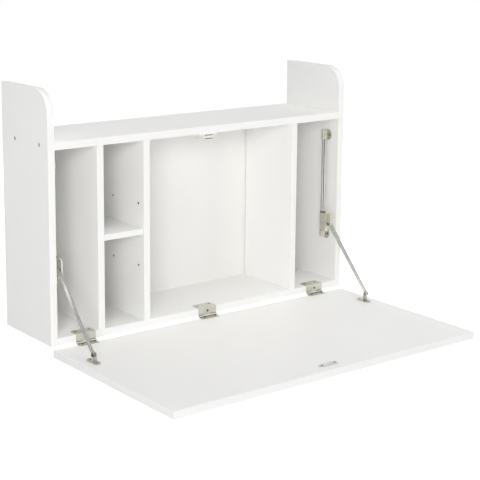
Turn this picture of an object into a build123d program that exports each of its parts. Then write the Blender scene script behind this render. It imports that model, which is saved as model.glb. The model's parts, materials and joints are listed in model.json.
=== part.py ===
from build123d import *
import math
import os

# Wall-hung secretary desk of white melamine board, shown with its flap down.
# Units are millimetres. +X is to the right, the front faces -Y, the wall is the plane Y = 0, +Z is up.
# Heights below count from the underside of the carcass. The finished pieces are then lowered, so that
# the origin lies on the wall midway between the two wall screws.

# Carcass
WIDTH = 750.0
HEIGHT = 500.0
DEPTH = 180.0
BOARD = 15.0
SHELF_TOP = 400.0
CORNER_R = 48.0
LEFT_BAY = 93.0
SECOND_BAY = 93.0
RIGHT_BAY = 119.0

# Back panel, in a groove in front of the hanging rail
BACK_THICK = 3.0
GROOVE_DEPTH = 6.0
BACK_GAP = 2.0
RAIL_HEIGHT = 70.0

# Wall screws, through the hanging rail in the two outer bays
WALL_SCREW_SPACING = 620.0
WALL_SCREW_DROP = 35.0
WALL_HOLE_R = 3.0

# Small adjustable shelf and its pins
SMALL_SHELF_THICK = 12.0
SMALL_SHELF_SETBACK = 2.0
SMALL_SHELF_PLAY = 0.5
PIN_R = 2.5
PIN_LENGTH = 16.0
PIN_ROWS = (127.0, 191.0, 255.0)
PIN_SETBACKS = (20.0, 114.0)
PINNED_ROW = PIN_ROWS[1]

# Screws, dowels and shelf pins, all drawn six-sided to keep the model light
BAR_SIDES = 6
HOLE_PLAY = 0.05
SCREW_SETBACKS = (34.0, 129.0)
BIG_HEAD_R = 4.8
BIG_HEAD_LENGTH = 3.5
BIG_SHANK_R = 3.2
BIG_SCREW_LENGTH = 48.0
BIG_HEAD_SUNK = 0.6
SMALL_HEAD_R = 2.6
SMALL_SHANK_R = 1.5
SMALL_SCREW_LENGTH = 13.0
HEAD_RIM = 0.2
DOWEL_R = 4.0
DOWEL_IN_FACE = 10.0
DOWEL_IN_END = 20.0
RAIL_DOWEL_SHARES = (0.25, 0.75)

# Flap and hinges
FLAP_DEPTH = 404.0
FLAP_SIDE_GAP = 1.0
KNUCKLE_R = 2.5
KNUCKLE_SIDES = 12
KNUCKLE_END = 1.5
AXIS_DROP = 2.0
HINGE_SPACING = 297.0
HINGE_WIDTH = 44.0
HINGE_STEEL = 1.4
HINGE_PIN_R = 1.1
TOP_LEAF_DEPTH = 24.0
FLAP_LEAF_REACH = 13.0
LEAF_CLIP = 4.0
BEND_CUT = 0.8
MID_KNUCKLE_HALF = 8.0
KNUCKLE_PLAY = 0.3
KNUCKLE_CLEAR = 0.6
TOP_SCREW_X = 15.0
TOP_SCREW_SETBACK = 15.0
FACE_SCREW_Z = 8.0
FLAP_SCREW_X = 14.0
FLAP_SCREW_REACH = 8.0

# Flap stays: distances inwards from the side panel and back from the carcass front
ROD_R = 5.0
ROD_STANDOFF = 12.5
ROD_SETBACK = 32.0
UPPER_CUP_MOUTH_Z = 336.5
UPPER_CUP_HEIGHT = 22.5
LOWER_CUP_HEIGHT = 14.5
CUP_R = 6.5
CUP_SIDES = 24
CUP_FLOOR = 2.0
CUP_END_CUT = 1.5
FOOT_WIDTH = 21.5
FOOT_HEIGHT = 23.0
FOOT_THICK = 2.5
FOOT_CLIP = 6.0
FOOT_DROP = 1.7
FOOT_SCREW_Y = 7.9
NECK_WIDTH = 9.0
NECK_MARGIN = 3.0
SLIDER_WIDTH = 13.4
SLEEVE_CLIP = 3.9
SLIDER_BELOW_PIVOT = 16.6
SLIDER_ABOVE_PIVOT = 23.6
RING_WIDTH = 12.6
RING_THICK = 1.8
SLIDER_REST_GAP = 0.5
BLOCK_REACH = 17.5
LUG_THICK = 2.5
LUG_REACH = 7.0
LUG_DROP = 5.0
LUG_CLIP = 3.0
PIVOT_AHEAD_OF_ROD = 22.5
PIVOT_HEAD_R = 2.6
ARM_LENGTH = 183.0
ARM_TOP_R = 4.9
ARM_LOW_R = 4.0
ARM_THICK = 3.0
ARM_INSET = 8.7
SIDE_PLAY = 0.3
RIVET_R = 2.5
RIVET_HEAD_R = 4.0
RIVET_HEAD_THICK = 1.6
FLAP_PIVOT_REACH = 112.0
FLAP_PIVOT_RISE = 15.5
PLATE_THICK = 2.0
PLATE_WIDTH = 14.0
PLATE_INSET = 6.0
PLATE_BACK = 22.5
PLATE_FRONT = 14.5
PLATE_SCREW_BACK = 17.0
PLATE_SCREW_FRONT = 9.6
PLATE_CLIP = 4.0
FLAP_LUG_THICK = 2.5
FLAP_LUG_R = 5.5
FLAP_LUG_CLIP = 3.2

# Magnetic catch under the top shelf and strike plate on the flap
CATCH_WIDTH = 26.0
CATCH_HEIGHT = 13.0
CATCH_LENGTH = 20.0
CATCH_EAR_WIDTH = 10.0
CATCH_EAR_THICK = 3.0
CATCH_CLIP = 2.0
POLE_WIDTH = 20.0
POLE_THICK = 1.5
POLE_PROUD = 0.5
MAGNET_SETBACK = 5.0
MAGNET_THICK = 5.5
CATCH_AIR_GAP = 0.4
STRIKE_LENGTH = 43.0
STRIKE_WIDTH = 12.0
STRIKE_THICK = 1.2
STRIKE_CLIP = 3.0
STRIKE_SCREW_X = 16.0

# Places that follow from the above
HALF = WIDTH / 2
INNER = HALF - BOARD
FRONT = -DEPTH
SHELF_UNDER = SHELF_TOP - BOARD
BACK_FRONT = -(BOARD + BACK_THICK)
DIVIDER_BACK = BACK_FRONT - BACK_GAP
WALL_SCREW_Z = SHELF_UNDER - WALL_SCREW_DROP
SCREW_YS = [FRONT + setback for setback in SCREW_SETBACKS]
DIVIDER_LEFT_FACES = {
    "left_divider": -INNER + LEFT_BAY,
    "middle_divider": -INNER + LEFT_BAY + BOARD + SECOND_BAY,
    "right_divider": INNER - RIGHT_BAY - BOARD,
}
SECOND_BAY_LEFT = DIVIDER_LEFT_FACES["left_divider"] + BOARD
SECOND_BAY_RIGHT = DIVIDER_LEFT_FACES["middle_divider"]
AXIS_Y = FRONT - KNUCKLE_R
AXIS_Z = -AXIS_DROP
FLAP_TOP = AXIS_Z - KNUCKLE_R
FLAP_BACK = AXIS_Y - KNUCKLE_R
HINGES = {"left": -HINGE_SPACING, "centre": 0.0, "right": HINGE_SPACING}
STAYS = {"left": -1, "right": 1}
ROD_Y = FRONT + ROD_SETBACK
SLIDER_PIVOT_Y = ROD_Y - PIVOT_AHEAD_OF_ROD
FLAP_PIVOT_Y = AXIS_Y - FLAP_PIVOT_REACH
FLAP_PIVOT_Z = FLAP_TOP + FLAP_PIVOT_RISE
SLIDER_PIVOT_Z = FLAP_PIVOT_Z + math.sqrt(ARM_LENGTH**2 - (SLIDER_PIVOT_Y - FLAP_PIVOT_Y)**2)
SLIDER_BOTTOM = SLIDER_PIVOT_Z - SLIDER_BELOW_PIVOT
SLIDER_TOP = SLIDER_PIVOT_Z + SLIDER_ABOVE_PIVOT
LOWER_CUP_MOUTH_Z = SLIDER_BOTTOM - SLIDER_REST_GAP
UPPER_CUP = (UPPER_CUP_MOUTH_Z, UPPER_CUP_MOUTH_Z + UPPER_CUP_HEIGHT)
LOWER_CUP = (LOWER_CUP_MOUTH_Z - LOWER_CUP_HEIGHT, LOWER_CUP_MOUTH_Z)
ROD_SPAN = (LOWER_CUP[0] + CUP_FLOOR, UPPER_CUP[1] - CUP_FLOOR)
LUG_INSET = ARM_INSET + ARM_THICK + SIDE_PLAY
CATCH_MID_Z = SHELF_UNDER - CATCH_HEIGHT / 2
STRIKE_Y = AXIS_Y - (CATCH_MID_Z - AXIS_Z)
POLE_FRONT = FLAP_BACK + STRIKE_THICK + CATCH_AIR_GAP
CATCH_FRONT = POLE_FRONT + POLE_PROUD
TO_ORIGIN = Pos(0, 0, -WALL_SCREW_Z)


def slab(x, y, z):
    """Box between two limits along each axis, each given as a pair."""
    sizes = [abs(pair[1] - pair[0]) for pair in (x, y, z)]
    middle = [(pair[0] + pair[1]) / 2 for pair in (x, y, z)]
    return Pos(*middle) * Box(*sizes)


def rod_x(x, y, z, radius):
    """Round bar along X between the two limits in x."""
    return Pos((x[0] + x[1]) / 2, y, z) * Rot(0, 90, 0) * Cylinder(radius, abs(x[1] - x[0]))


def rod_z(x, y, z, radius):
    """Round bar along Z between the two limits in z."""
    return Pos(x, y, (z[0] + z[1]) / 2) * Cylinder(radius, abs(z[1] - z[0]))


def facing(point, direction):
    """Place whose own +Z looks along the direction, with its origin at the point."""
    return Plane(origin=point, z_dir=direction)


def bar(start, direction, length, radius, sides=BAR_SIDES):
    """Bar of flat sides from the start along the direction."""
    return facing(start, direction) * extrude(RegularPolygon(radius, sides), amount=length)


def placed(piece, places):
    """One copy of the piece at each place."""
    return [place * piece for place in places]


def without(body, cutters):
    """The body with every cutter taken out of it."""
    for cutter in cutters:
        body -= cutter
    return body


# Screws, drawn with the head's top at the origin and the shank down -Z.
# With some play, each is the hole that takes it.
def sunk_screw(head_depth, play=0.0):
    """Countersunk wood screw: the head's lower edge is cut back to the shank."""
    head = bar((0, 0, 0), (0, 0, -1), head_depth, SMALL_HEAD_R + play)
    under = head.faces().sort_by(Axis.Z)[0]
    cut_in = (SMALL_HEAD_R - SMALL_SHANK_R) * math.cos(math.pi / BAR_SIDES)
    head = chamfer(under.edges(), cut_in, head_depth - HEAD_RIM, reference=under)
    shank_length = SMALL_SCREW_LENGTH - head_depth + play
    return head + bar((0, 0, -head_depth), (0, 0, -1), shank_length, SMALL_SHANK_R + play)


def sunk_holes(head_depth, places):
    return placed(sunk_screw(head_depth, HOLE_PLAY), places)


def board_screw(play=0.0):
    """Long flat-headed screw that holds board to board, with its head a little below the surface."""
    top = BIG_HEAD_SUNK if play else 0.0
    head = bar((0, 0, top), (0, 0, -1), top + BIG_HEAD_LENGTH, BIG_HEAD_R + play)
    return head + bar((0, 0, 0), (0, 0, -1), BIG_SCREW_LENGTH + play, BIG_SHANK_R + play)


def board_screw_holes(places):
    return placed(board_screw(HOLE_PLAY), places)


def shelf_screw_places(side):
    """Through a side panel into the end of the top shelf."""
    x = side * (HALF - BIG_HEAD_SUNK)
    return [facing((x, y, SHELF_TOP - BOARD / 2), (side, 0, 0)) for y in SCREW_YS]


def base_screw_places(x):
    """From below through the bottom panel into the upright whose middle is at x."""
    return [facing((x, y, BIG_HEAD_SUNK), (0, 0, -1)) for y in SCREW_YS]


def divider_middle(name):
    return DIVIDER_LEFT_FACES[name] + BOARD / 2


def side_middle(side):
    return side * (HALF - BOARD / 2)


def all_base_screw_places():
    middles = [side_middle(side) for side in STAYS.values()]
    middles += [divider_middle(name) for name in DIVIDER_LEFT_FACES]
    return [place for x in middles for place in base_screw_places(x)]


def divider_dowels(name):
    """Between the top of a divider and the underside of the top shelf."""
    start = SHELF_UNDER - DOWEL_IN_END
    length = DOWEL_IN_END + DOWEL_IN_FACE
    return [bar((divider_middle(name), y, start), (0, 0, 1), length, DOWEL_R) for y in SCREW_YS]


def all_divider_dowels():
    return [dowel for name in DIVIDER_LEFT_FACES for dowel in divider_dowels(name)]


def rail_dowels(side):
    """Between one end of the hanging rail and a side panel."""
    heights = [SHELF_UNDER - RAIL_HEIGHT * share for share in RAIL_DOWEL_SHARES]
    start = side * (INNER - DOWEL_IN_END)
    length = DOWEL_IN_END + DOWEL_IN_FACE
    return [bar((start, -BOARD / 2, z), (side, 0, 0), length, DOWEL_R) for z in heights]


# Boards of the carcass
def side_panel(side):
    corners = [(FRONT, BOARD), (0, BOARD), (0, HEIGHT), (FRONT, HEIGHT)]
    outline = make_face(Polyline(*corners, close=True))
    top_front = outline.vertices().group_by(Axis.Y)[-1].sort_by(Axis.X)[0]
    outline = fillet(top_front, CORNER_R)
    panel = Pos(side * INNER, 0, 0) * extrude(Plane.YZ * outline, amount=side * BOARD)
    groove = (side * INNER, side * (INNER + GROOVE_DEPTH))
    panel -= slab(groove, (BACK_FRONT, -BOARD), (BOARD, SHELF_UNDER + GROOVE_DEPTH))
    panel = without(panel, board_screw_holes(shelf_screw_places(side)))
    panel = without(panel, board_screw_holes(base_screw_places(side_middle(side))))
    panel = without(panel, rail_dowels(side))
    return without(panel, sunk_holes(FOOT_THICK, foot_screw_places(side)))


def bottom_panel():
    panel = slab((-HALF, HALF), (FRONT, 0), (0, BOARD))
    reach = INNER + GROOVE_DEPTH
    panel -= slab((-reach, reach), (BACK_FRONT, -BOARD), (BOARD - GROOVE_DEPTH, BOARD))
    panel = without(panel, board_screw_holes(all_base_screw_places()))
    return without(panel, sunk_holes(HINGE_STEEL, carcass_leaf_screw_places()))


def top_shelf():
    shelf = slab((-INNER, INNER), (FRONT, 0), (SHELF_UNDER, SHELF_TOP))
    shelf -= slab((-INNER, INNER), (BACK_FRONT, -BOARD), (SHELF_UNDER, SHELF_UNDER + GROOVE_DEPTH))
    for side in STAYS.values():
        shelf = without(shelf, board_screw_holes(shelf_screw_places(side)))
    shelf = without(shelf, all_divider_dowels())
    return without(shelf, sunk_holes(CATCH_EAR_THICK, catch_screw_places()))


def divider(name):
    face = DIVIDER_LEFT_FACES[name]
    board = slab((face, face + BOARD), (FRONT, DIVIDER_BACK), (BOARD, SHELF_UNDER))
    board = without(board, board_screw_holes(base_screw_places(divider_middle(name))))
    return without(board, divider_dowels(name))


def shelf_pins(rows):
    """Pins half in the dividers beside the second bay and half in the bay, at the heights given."""
    pins = []
    for x in (SECOND_BAY_LEFT, SECOND_BAY_RIGHT):
        for z in rows:
            for setback in PIN_SETBACKS:
                start = (x - PIN_LENGTH / 2, FRONT + setback, z)
                pins.append(bar(start, (1, 0, 0), PIN_LENGTH, PIN_R))
    return pins


def small_shelf():
    under = max(pin.bounding_box().max.Z for pin in shelf_pins([PINNED_ROW]))
    return slab(
        (SECOND_BAY_LEFT + SMALL_SHELF_PLAY, SECOND_BAY_RIGHT - SMALL_SHELF_PLAY),
        (FRONT + SMALL_SHELF_SETBACK, DIVIDER_BACK),
        (under, under + SMALL_SHELF_THICK),
    )


def wall_holes():
    half = WALL_SCREW_SPACING / 2
    tool = Rot(90, 0, 0) * Cylinder(WALL_HOLE_R, 4 * BOARD)
    return [Pos(x, 0, WALL_SCREW_Z) * tool for x in (-half, half)]


def back_panel():
    reach = INNER + GROOVE_DEPTH
    heights = (BOARD - GROOVE_DEPTH, SHELF_UNDER + GROOVE_DEPTH)
    return without(slab((-reach, reach), (BACK_FRONT, -BOARD), heights), wall_holes())


def hanging_rail():
    rail = slab((-INNER, INNER), (-BOARD, 0), (SHELF_UNDER - RAIL_HEIGHT, SHELF_UNDER))
    return without(rail, wall_holes() + rail_dowels(-1) + rail_dowels(1))


# Flap and hinges
def flap_panel():
    half = HALF - FLAP_SIDE_GAP
    panel = slab((-half, half), (FLAP_BACK - FLAP_DEPTH, FLAP_BACK), (FLAP_TOP - BOARD, FLAP_TOP))
    panel = without(panel, sunk_holes(HINGE_STEEL, flap_leaf_screw_places()))
    panel = without(panel, sunk_holes(STRIKE_THICK, strike_screw_places()))
    for side in STAYS.values():
        panel = without(panel, sunk_holes(PLATE_THICK, plate_screw_places(side)))
    return panel


def carcass_leaf_screw_places():
    places = []
    for x in HINGES.values():
        for step in (-TOP_SCREW_X, TOP_SCREW_X):
            point = (x + step, FRONT + TOP_SCREW_SETBACK, BOARD + HINGE_STEEL)
            places.append(facing(point, (0, 0, 1)))
        places.append(facing((x, FRONT - HINGE_STEEL, FACE_SCREW_Z), (0, -1, 0)))
    return places


def flap_leaf_screw_places():
    y = AXIS_Y - FLAP_SCREW_REACH
    steps = (-FLAP_SCREW_X, FLAP_SCREW_X)
    return [
        facing((x + step, y, FLAP_TOP + HINGE_STEEL), (0, 0, 1))
        for x in HINGES.values()
        for step in steps
    ]


def knuckle(x):
    """Rolled knuckle between the two limits in x."""
    return bar((x[0], AXIS_Y, AXIS_Z), (1, 0, 0), x[1] - x[0], KNUCKLE_R, KNUCKLE_SIDES)


def hinge_pin(x, play=0.0):
    """Pin between the closed ends of the outer knuckles, or with some play, its bore."""
    half = HINGE_WIDTH / 2 - KNUCKLE_END
    return rod_x((x - half, x + half), AXIS_Y, AXIS_Z, HINGE_PIN_R + play)


def carcass_leaf(x):
    """Cranked leaf: flat on the bottom panel, bent down its front edge, with the outer knuckles."""
    half = HINGE_WIDTH / 2
    gap = MID_KNUCKLE_HALF + KNUCKLE_PLAY
    crank = [
        (FRONT + TOP_LEAF_DEPTH, BOARD),
        (FRONT, BOARD),
        (FRONT, AXIS_Z),
        (FRONT - HINGE_STEEL, AXIS_Z),
        (FRONT - HINGE_STEEL, BOARD + HINGE_STEEL),
        (FRONT + TOP_LEAF_DEPTH, BOARD + HINGE_STEEL),
    ]
    profile = make_face(Polyline(*crank, close=True))
    bend = profile.vertices().group_by(Axis.X)[0].sort_by(Axis.Y)[-1]
    leaf = Pos(x - half, 0, 0) * extrude(Plane.YZ * chamfer(bend, BEND_CUT), amount=HINGE_WIDTH)
    leaf = chamfer(leaf.edges().filter_by(Axis.Z).group_by(Axis.Y)[-1], LEAF_CLIP)
    notch_top = AXIS_Z + KNUCKLE_R + KNUCKLE_CLEAR
    leaf -= slab((x - gap, x + gap), (FRONT - HINGE_STEEL, FRONT), (AXIS_Z, notch_top))
    leaf += knuckle((x - half, x - gap))
    leaf += knuckle((x + gap, x + half))
    leaf -= hinge_pin(x, HOLE_PLAY)
    return without(leaf, sunk_holes(HINGE_STEEL, carcass_leaf_screw_places()))


def flap_leaf(x):
    """Flat leaf on the flap, with the middle knuckle."""
    half = HINGE_WIDTH / 2
    mid = (x - MID_KNUCKLE_HALF, x + MID_KNUCKLE_HALF)
    heights = (FLAP_TOP, FLAP_TOP + HINGE_STEEL)
    tip = AXIS_Y - FLAP_LEAF_REACH
    clear = FLAP_BACK - KNUCKLE_CLEAR
    leaf = slab((x - half, x + half), (tip, clear), heights)
    leaf = chamfer(leaf.edges().filter_by(Axis.Z).group_by(Axis.Y)[0], LEAF_CLIP)
    leaf += slab(mid, (clear, AXIS_Y), heights)
    leaf += knuckle(mid)
    leaf -= hinge_pin(x, HOLE_PLAY)
    return without(leaf, sunk_holes(HINGE_STEEL, flap_leaf_screw_places()))


# Flap stays
def inset(side, distance):
    """X of a point at this distance inwards from a side panel's inner face."""
    return side * (INNER - distance)


def inset_span(side, near, far):
    return (inset(side, near), inset(side, far))


def foot_middle(cup):
    """Height of the middle of the foot that carries this cup."""
    return (cup[0] + cup[1]) / 2 - FOOT_DROP


def foot_screw_places(side):
    """In front of and behind each cup, where a driver passes it."""
    x = inset(side, FOOT_THICK)
    return [
        facing((x, ROD_Y + step, foot_middle(cup)), (-side, 0, 0))
        for cup in (UPPER_CUP, LOWER_CUP)
        for step in (-FOOT_SCREW_Y, FOOT_SCREW_Y)
    ]


def around(middle, size):
    """Limits of this size around a middle."""
    return (middle - size / 2, middle + size / 2)


def rod_bracket(side, cup, closed_end):
    """Foot on the side panel, neck and blind cup. The closed end is -1 for the top and 0 for the bottom."""
    foot_z = around(foot_middle(cup), FOOT_HEIGHT)
    bracket = slab(inset_span(side, 0, FOOT_THICK), around(ROD_Y, FOOT_WIDTH), foot_z)
    bracket = chamfer(bracket.edges().filter_by(Axis.X), FOOT_CLIP)
    neck_z = (cup[0] + NECK_MARGIN, cup[1] - NECK_MARGIN)
    bracket += slab(inset_span(side, 0, ROD_STANDOFF), around(ROD_Y, NECK_WIDTH), neck_z)
    cup_start = (inset(side, ROD_STANDOFF), ROD_Y, cup[0])
    shell = bar(cup_start, (0, 0, 1), cup[1] - cup[0], CUP_R, CUP_SIDES)
    bracket += chamfer(shell.faces().sort_by(Axis.Z)[closed_end].edges(), CUP_END_CUT)
    bracket -= rod_bore(side, ROD_SPAN)
    return without(bracket, sunk_holes(FOOT_THICK, foot_screw_places(side)))


def stay_rod(side):
    return rod_z(inset(side, ROD_STANDOFF), ROD_Y, ROD_SPAN, ROD_R)


def sleeve(side, width, heights):
    """Square bar with cut corners that runs on the rod."""
    x = inset(side, ROD_STANDOFF)
    half = width / 2
    square = slab((x - half, x + half), (ROD_Y - half, ROD_Y + half), heights)
    return chamfer(square.edges().filter_by(Axis.Z), SLEEVE_CLIP)


def rod_bore(side, heights):
    return rod_z(inset(side, ROD_STANDOFF), ROD_Y, heights, ROD_R + HOLE_PLAY)


def slider(side):
    """Sleeve on the rod, with a block and a lug in front, and the head of the rivet for the arm."""
    length = (SLIDER_BOTTOM, SLIDER_TOP)
    body = sleeve(side, SLIDER_WIDTH, length)
    block_x = inset_span(side, LUG_INSET, ROD_STANDOFF + SLIDER_WIDTH / 2)
    body += slab(block_x, (ROD_Y - BLOCK_REACH, ROD_Y), length)
    lug_far = LUG_INSET + LUG_THICK
    lug_y = (SLIDER_PIVOT_Y - LUG_REACH, ROD_Y)
    lug_z = (SLIDER_PIVOT_Z - LUG_DROP, SLIDER_TOP)
    lug = slab(inset_span(side, LUG_INSET, lug_far), lug_y, lug_z)
    body += chamfer(lug.edges().filter_by(Axis.X).group_by(Axis.Y)[0], LUG_CLIP)
    head = inset_span(side, LUG_INSET, lug_far + RIVET_HEAD_THICK)
    body += rod_x(head, SLIDER_PIVOT_Y, SLIDER_PIVOT_Z, PIVOT_HEAD_R)
    return body - rod_bore(side, length)


def slider_ring(side):
    """Dark plastic ring on top of the slider."""
    height = (SLIDER_TOP, SLIDER_TOP + RING_THICK)
    return sleeve(side, RING_WIDTH, height) - rod_bore(side, height)


def arm(side):
    """Flat bar that narrows downwards, drawn upright from its lower pivot, then leaned back."""
    lean = math.degrees(math.asin((SLIDER_PIVOT_Y - FLAP_PIVOT_Y) / ARM_LENGTH))
    ends = Circle(ARM_LOW_R).edges() + (Pos(0, ARM_LENGTH) * Circle(ARM_TOP_R)).edges()
    shape = make_hull(ends) - Circle(RIVET_R)
    flat = extrude(Plane.YZ * shape, amount=-side * ARM_THICK)
    return Pos(inset(side, ARM_INSET), FLAP_PIVOT_Y, FLAP_PIVOT_Z) * Rot(-lean, 0, 0) * flat


def plate_screw_places(side):
    x = inset(side, PLATE_INSET + PLATE_WIDTH / 2)
    y_places = (FLAP_PIVOT_Y + PLATE_SCREW_BACK, FLAP_PIVOT_Y - PLATE_SCREW_FRONT)
    return [facing((x, y, FLAP_TOP + PLATE_THICK), (0, 0, 1)) for y in y_places]


def flap_bracket(side):
    """Plate with cut corners on the flap, and an upright lug for the arm."""
    plate_x = inset_span(side, PLATE_INSET, PLATE_INSET + PLATE_WIDTH)
    plate_y = (FLAP_PIVOT_Y - PLATE_FRONT, FLAP_PIVOT_Y + PLATE_BACK)
    plate = slab(plate_x, plate_y, (FLAP_TOP, FLAP_TOP + PLATE_THICK))
    plate = chamfer(plate.edges().filter_by(Axis.Z), PLATE_CLIP)
    lug_x = inset_span(side, LUG_INSET, LUG_INSET + FLAP_LUG_THICK)
    lug_y = (FLAP_PIVOT_Y - FLAP_LUG_R, FLAP_PIVOT_Y + FLAP_LUG_R)
    lug = slab(lug_x, lug_y, (FLAP_TOP, FLAP_PIVOT_Z + FLAP_LUG_R))
    lug = chamfer(lug.edges().filter_by(Axis.X).group_by(Axis.Z)[-1], FLAP_LUG_CLIP)
    bracket = plate + lug - rod_x(lug_x, FLAP_PIVOT_Y, FLAP_PIVOT_Z, RIVET_R)
    return without(bracket, sunk_holes(PLATE_THICK, plate_screw_places(side)))


def flap_rivet(side):
    """Rivet through the arm's lower eye and the lug, with its head on the outer side."""
    near = ARM_INSET - SIDE_PLAY
    far = LUG_INSET + FLAP_LUG_THICK
    shank = rod_x(inset_span(side, near, far), FLAP_PIVOT_Y, FLAP_PIVOT_Z, RIVET_R - HOLE_PLAY)
    head = inset_span(side, near - RIVET_HEAD_THICK, near)
    return shank + rod_x(head, FLAP_PIVOT_Y, FLAP_PIVOT_Z, RIVET_HEAD_R)


# Magnetic catch and strike plate
def catch_screw_places():
    x_place = (CATCH_WIDTH + CATCH_EAR_WIDTH) / 2
    y = CATCH_FRONT + CATCH_LENGTH / 2
    return [facing((x, y, SHELF_UNDER - CATCH_EAR_THICK), (0, 0, -1)) for x in (-x_place, x_place)]


def catch_layer(setback, heights):
    """Layer of the catch's core, from this far behind the pole faces to the housing's back."""
    length = (POLE_FRONT + setback, CATCH_FRONT + CATCH_LENGTH)
    return slab((-POLE_WIDTH / 2, POLE_WIDTH / 2), length, heights)


MAGNET_Z = (CATCH_MID_Z - MAGNET_THICK / 2, CATCH_MID_Z + MAGNET_THICK / 2)
CORE_Z = (MAGNET_Z[0] - POLE_THICK, MAGNET_Z[1] + POLE_THICK)


def catch_poles():
    return [catch_layer(0, (CORE_Z[0], MAGNET_Z[0])), catch_layer(0, (MAGNET_Z[1], CORE_Z[1]))]


def catch_magnet():
    return catch_layer(MAGNET_SETBACK, MAGNET_Z)


def catch_housing():
    """Plastic block with a screw ear on each side. Poles and magnet slide in from behind."""
    half = CATCH_WIDTH / 2
    length = (CATCH_FRONT, CATCH_FRONT + CATCH_LENGTH)
    block = slab((-half, half), length, (SHELF_UNDER - CATCH_HEIGHT, SHELF_UNDER))
    block = chamfer(block.edges().filter_by(Axis.Y).group_by(Axis.Z)[0], CATCH_CLIP)
    reach = half + CATCH_EAR_WIDTH
    ears = slab((-reach, reach), length, (SHELF_UNDER - CATCH_EAR_THICK, SHELF_UNDER))
    ears = chamfer(ears.edges().filter_by(Axis.Z), CATCH_CLIP)
    housing = without(block + ears, catch_poles() + [catch_magnet()])
    return without(housing, sunk_holes(CATCH_EAR_THICK, catch_screw_places()))


def strike_screw_places():
    z = FLAP_TOP + STRIKE_THICK
    return [facing((x, STRIKE_Y, z), (0, 0, 1)) for x in (-STRIKE_SCREW_X, STRIKE_SCREW_X)]


def strike_plate():
    half_x = STRIKE_LENGTH / 2
    half_y = STRIKE_WIDTH / 2
    y = (STRIKE_Y - half_y, STRIKE_Y + half_y)
    plate = slab((-half_x, half_x), y, (FLAP_TOP, FLAP_TOP + STRIKE_THICK))
    plate = chamfer(plate.edges().filter_by(Axis.Z), STRIKE_CLIP)
    return without(plate, sunk_holes(STRIKE_THICK, strike_screw_places()))


def carcass_pieces():
    second_bay_pin_holes = shelf_pins(PIN_ROWS)
    return {
        "left_side_panel": side_panel(-1),
        "right_side_panel": side_panel(1),
        "bottom_panel": bottom_panel(),
        "top_shelf": top_shelf(),
        "back_panel": back_panel(),
        "hanging_rail": hanging_rail(),
        "left_divider": without(divider("left_divider"), second_bay_pin_holes),
        "middle_divider": without(divider("middle_divider"), second_bay_pin_holes),
        "right_divider": divider("right_divider"),
        "small_shelf": small_shelf(),
        "shelf_pins": shelf_pins([PINNED_ROW]),
        "divider_dowels": all_divider_dowels(),
        "rail_dowels": rail_dowels(-1) + rail_dowels(1),
        "shelf_screws": placed(board_screw(), shelf_screw_places(-1) + shelf_screw_places(1)),
        "base_screws": placed(board_screw(), all_base_screw_places()),
    }


def hinge_pieces():
    nodes = {
        "flap_panel": flap_panel(),
        "hinge_carcass_screws": placed(sunk_screw(HINGE_STEEL), carcass_leaf_screw_places()),
        "hinge_flap_screws": placed(sunk_screw(HINGE_STEEL), flap_leaf_screw_places()),
    }
    for name, x in HINGES.items():
        nodes[f"{name}_hinge_carcass_leaf"] = carcass_leaf(x)
        nodes[f"{name}_hinge_flap_leaf"] = flap_leaf(x)
        nodes[f"{name}_hinge_pin"] = hinge_pin(x)
    return nodes


def stay_pieces():
    nodes = {"rod_bracket_screws": [], "flap_bracket_screws": [], "flap_rivets": []}
    for name, side in STAYS.items():
        upper = rod_bracket(side, UPPER_CUP, closed_end=-1)
        lower = rod_bracket(side, LOWER_CUP, closed_end=0)
        nodes[f"{name}_rod_brackets"] = [upper, lower]
        nodes[f"{name}_stay_rod"] = stay_rod(side)
        nodes[f"{name}_slider"] = slider(side)
        nodes[f"{name}_slider_ring"] = slider_ring(side)
        nodes[f"{name}_arm"] = arm(side)
        nodes[f"{name}_flap_bracket"] = flap_bracket(side)
        nodes["flap_rivets"].append(flap_rivet(side))
        nodes["rod_bracket_screws"] += placed(sunk_screw(FOOT_THICK), foot_screw_places(side))
        nodes["flap_bracket_screws"] += placed(sunk_screw(PLATE_THICK), plate_screw_places(side))
    return nodes


def catch_pieces():
    return {
        "catch_housing": catch_housing(),
        "catch_poles": catch_poles(),
        "catch_magnet": catch_magnet(),
        "catch_screws": placed(sunk_screw(CATCH_EAR_THICK), catch_screw_places()),
        "strike_plate": strike_plate(),
        "strike_screws": placed(sunk_screw(STRIKE_THICK), strike_screw_places()),
    }


# Each node goes to its own file. A list is a group of like pieces that share a node.
os.makedirs("parts", exist_ok=True)
all_pieces = carcass_pieces() | hinge_pieces() | stay_pieces() | catch_pieces()
for node, shape in all_pieces.items():
    if isinstance(shape, list):
        shape = Compound(children=[TO_ORIGIN * piece.solid() for piece in shape])
    else:
        shape = TO_ORIGIN * shape
    export_step(shape, f"parts/{node}.step")
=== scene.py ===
"""Looks of the white wall-hung secretary desk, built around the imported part."""

import json
import math

import bmesh
import bpy
import numpy as np
from mathutils import Matrix, Vector
from mathutils.geometry import delaunay_2d_cdt


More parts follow.
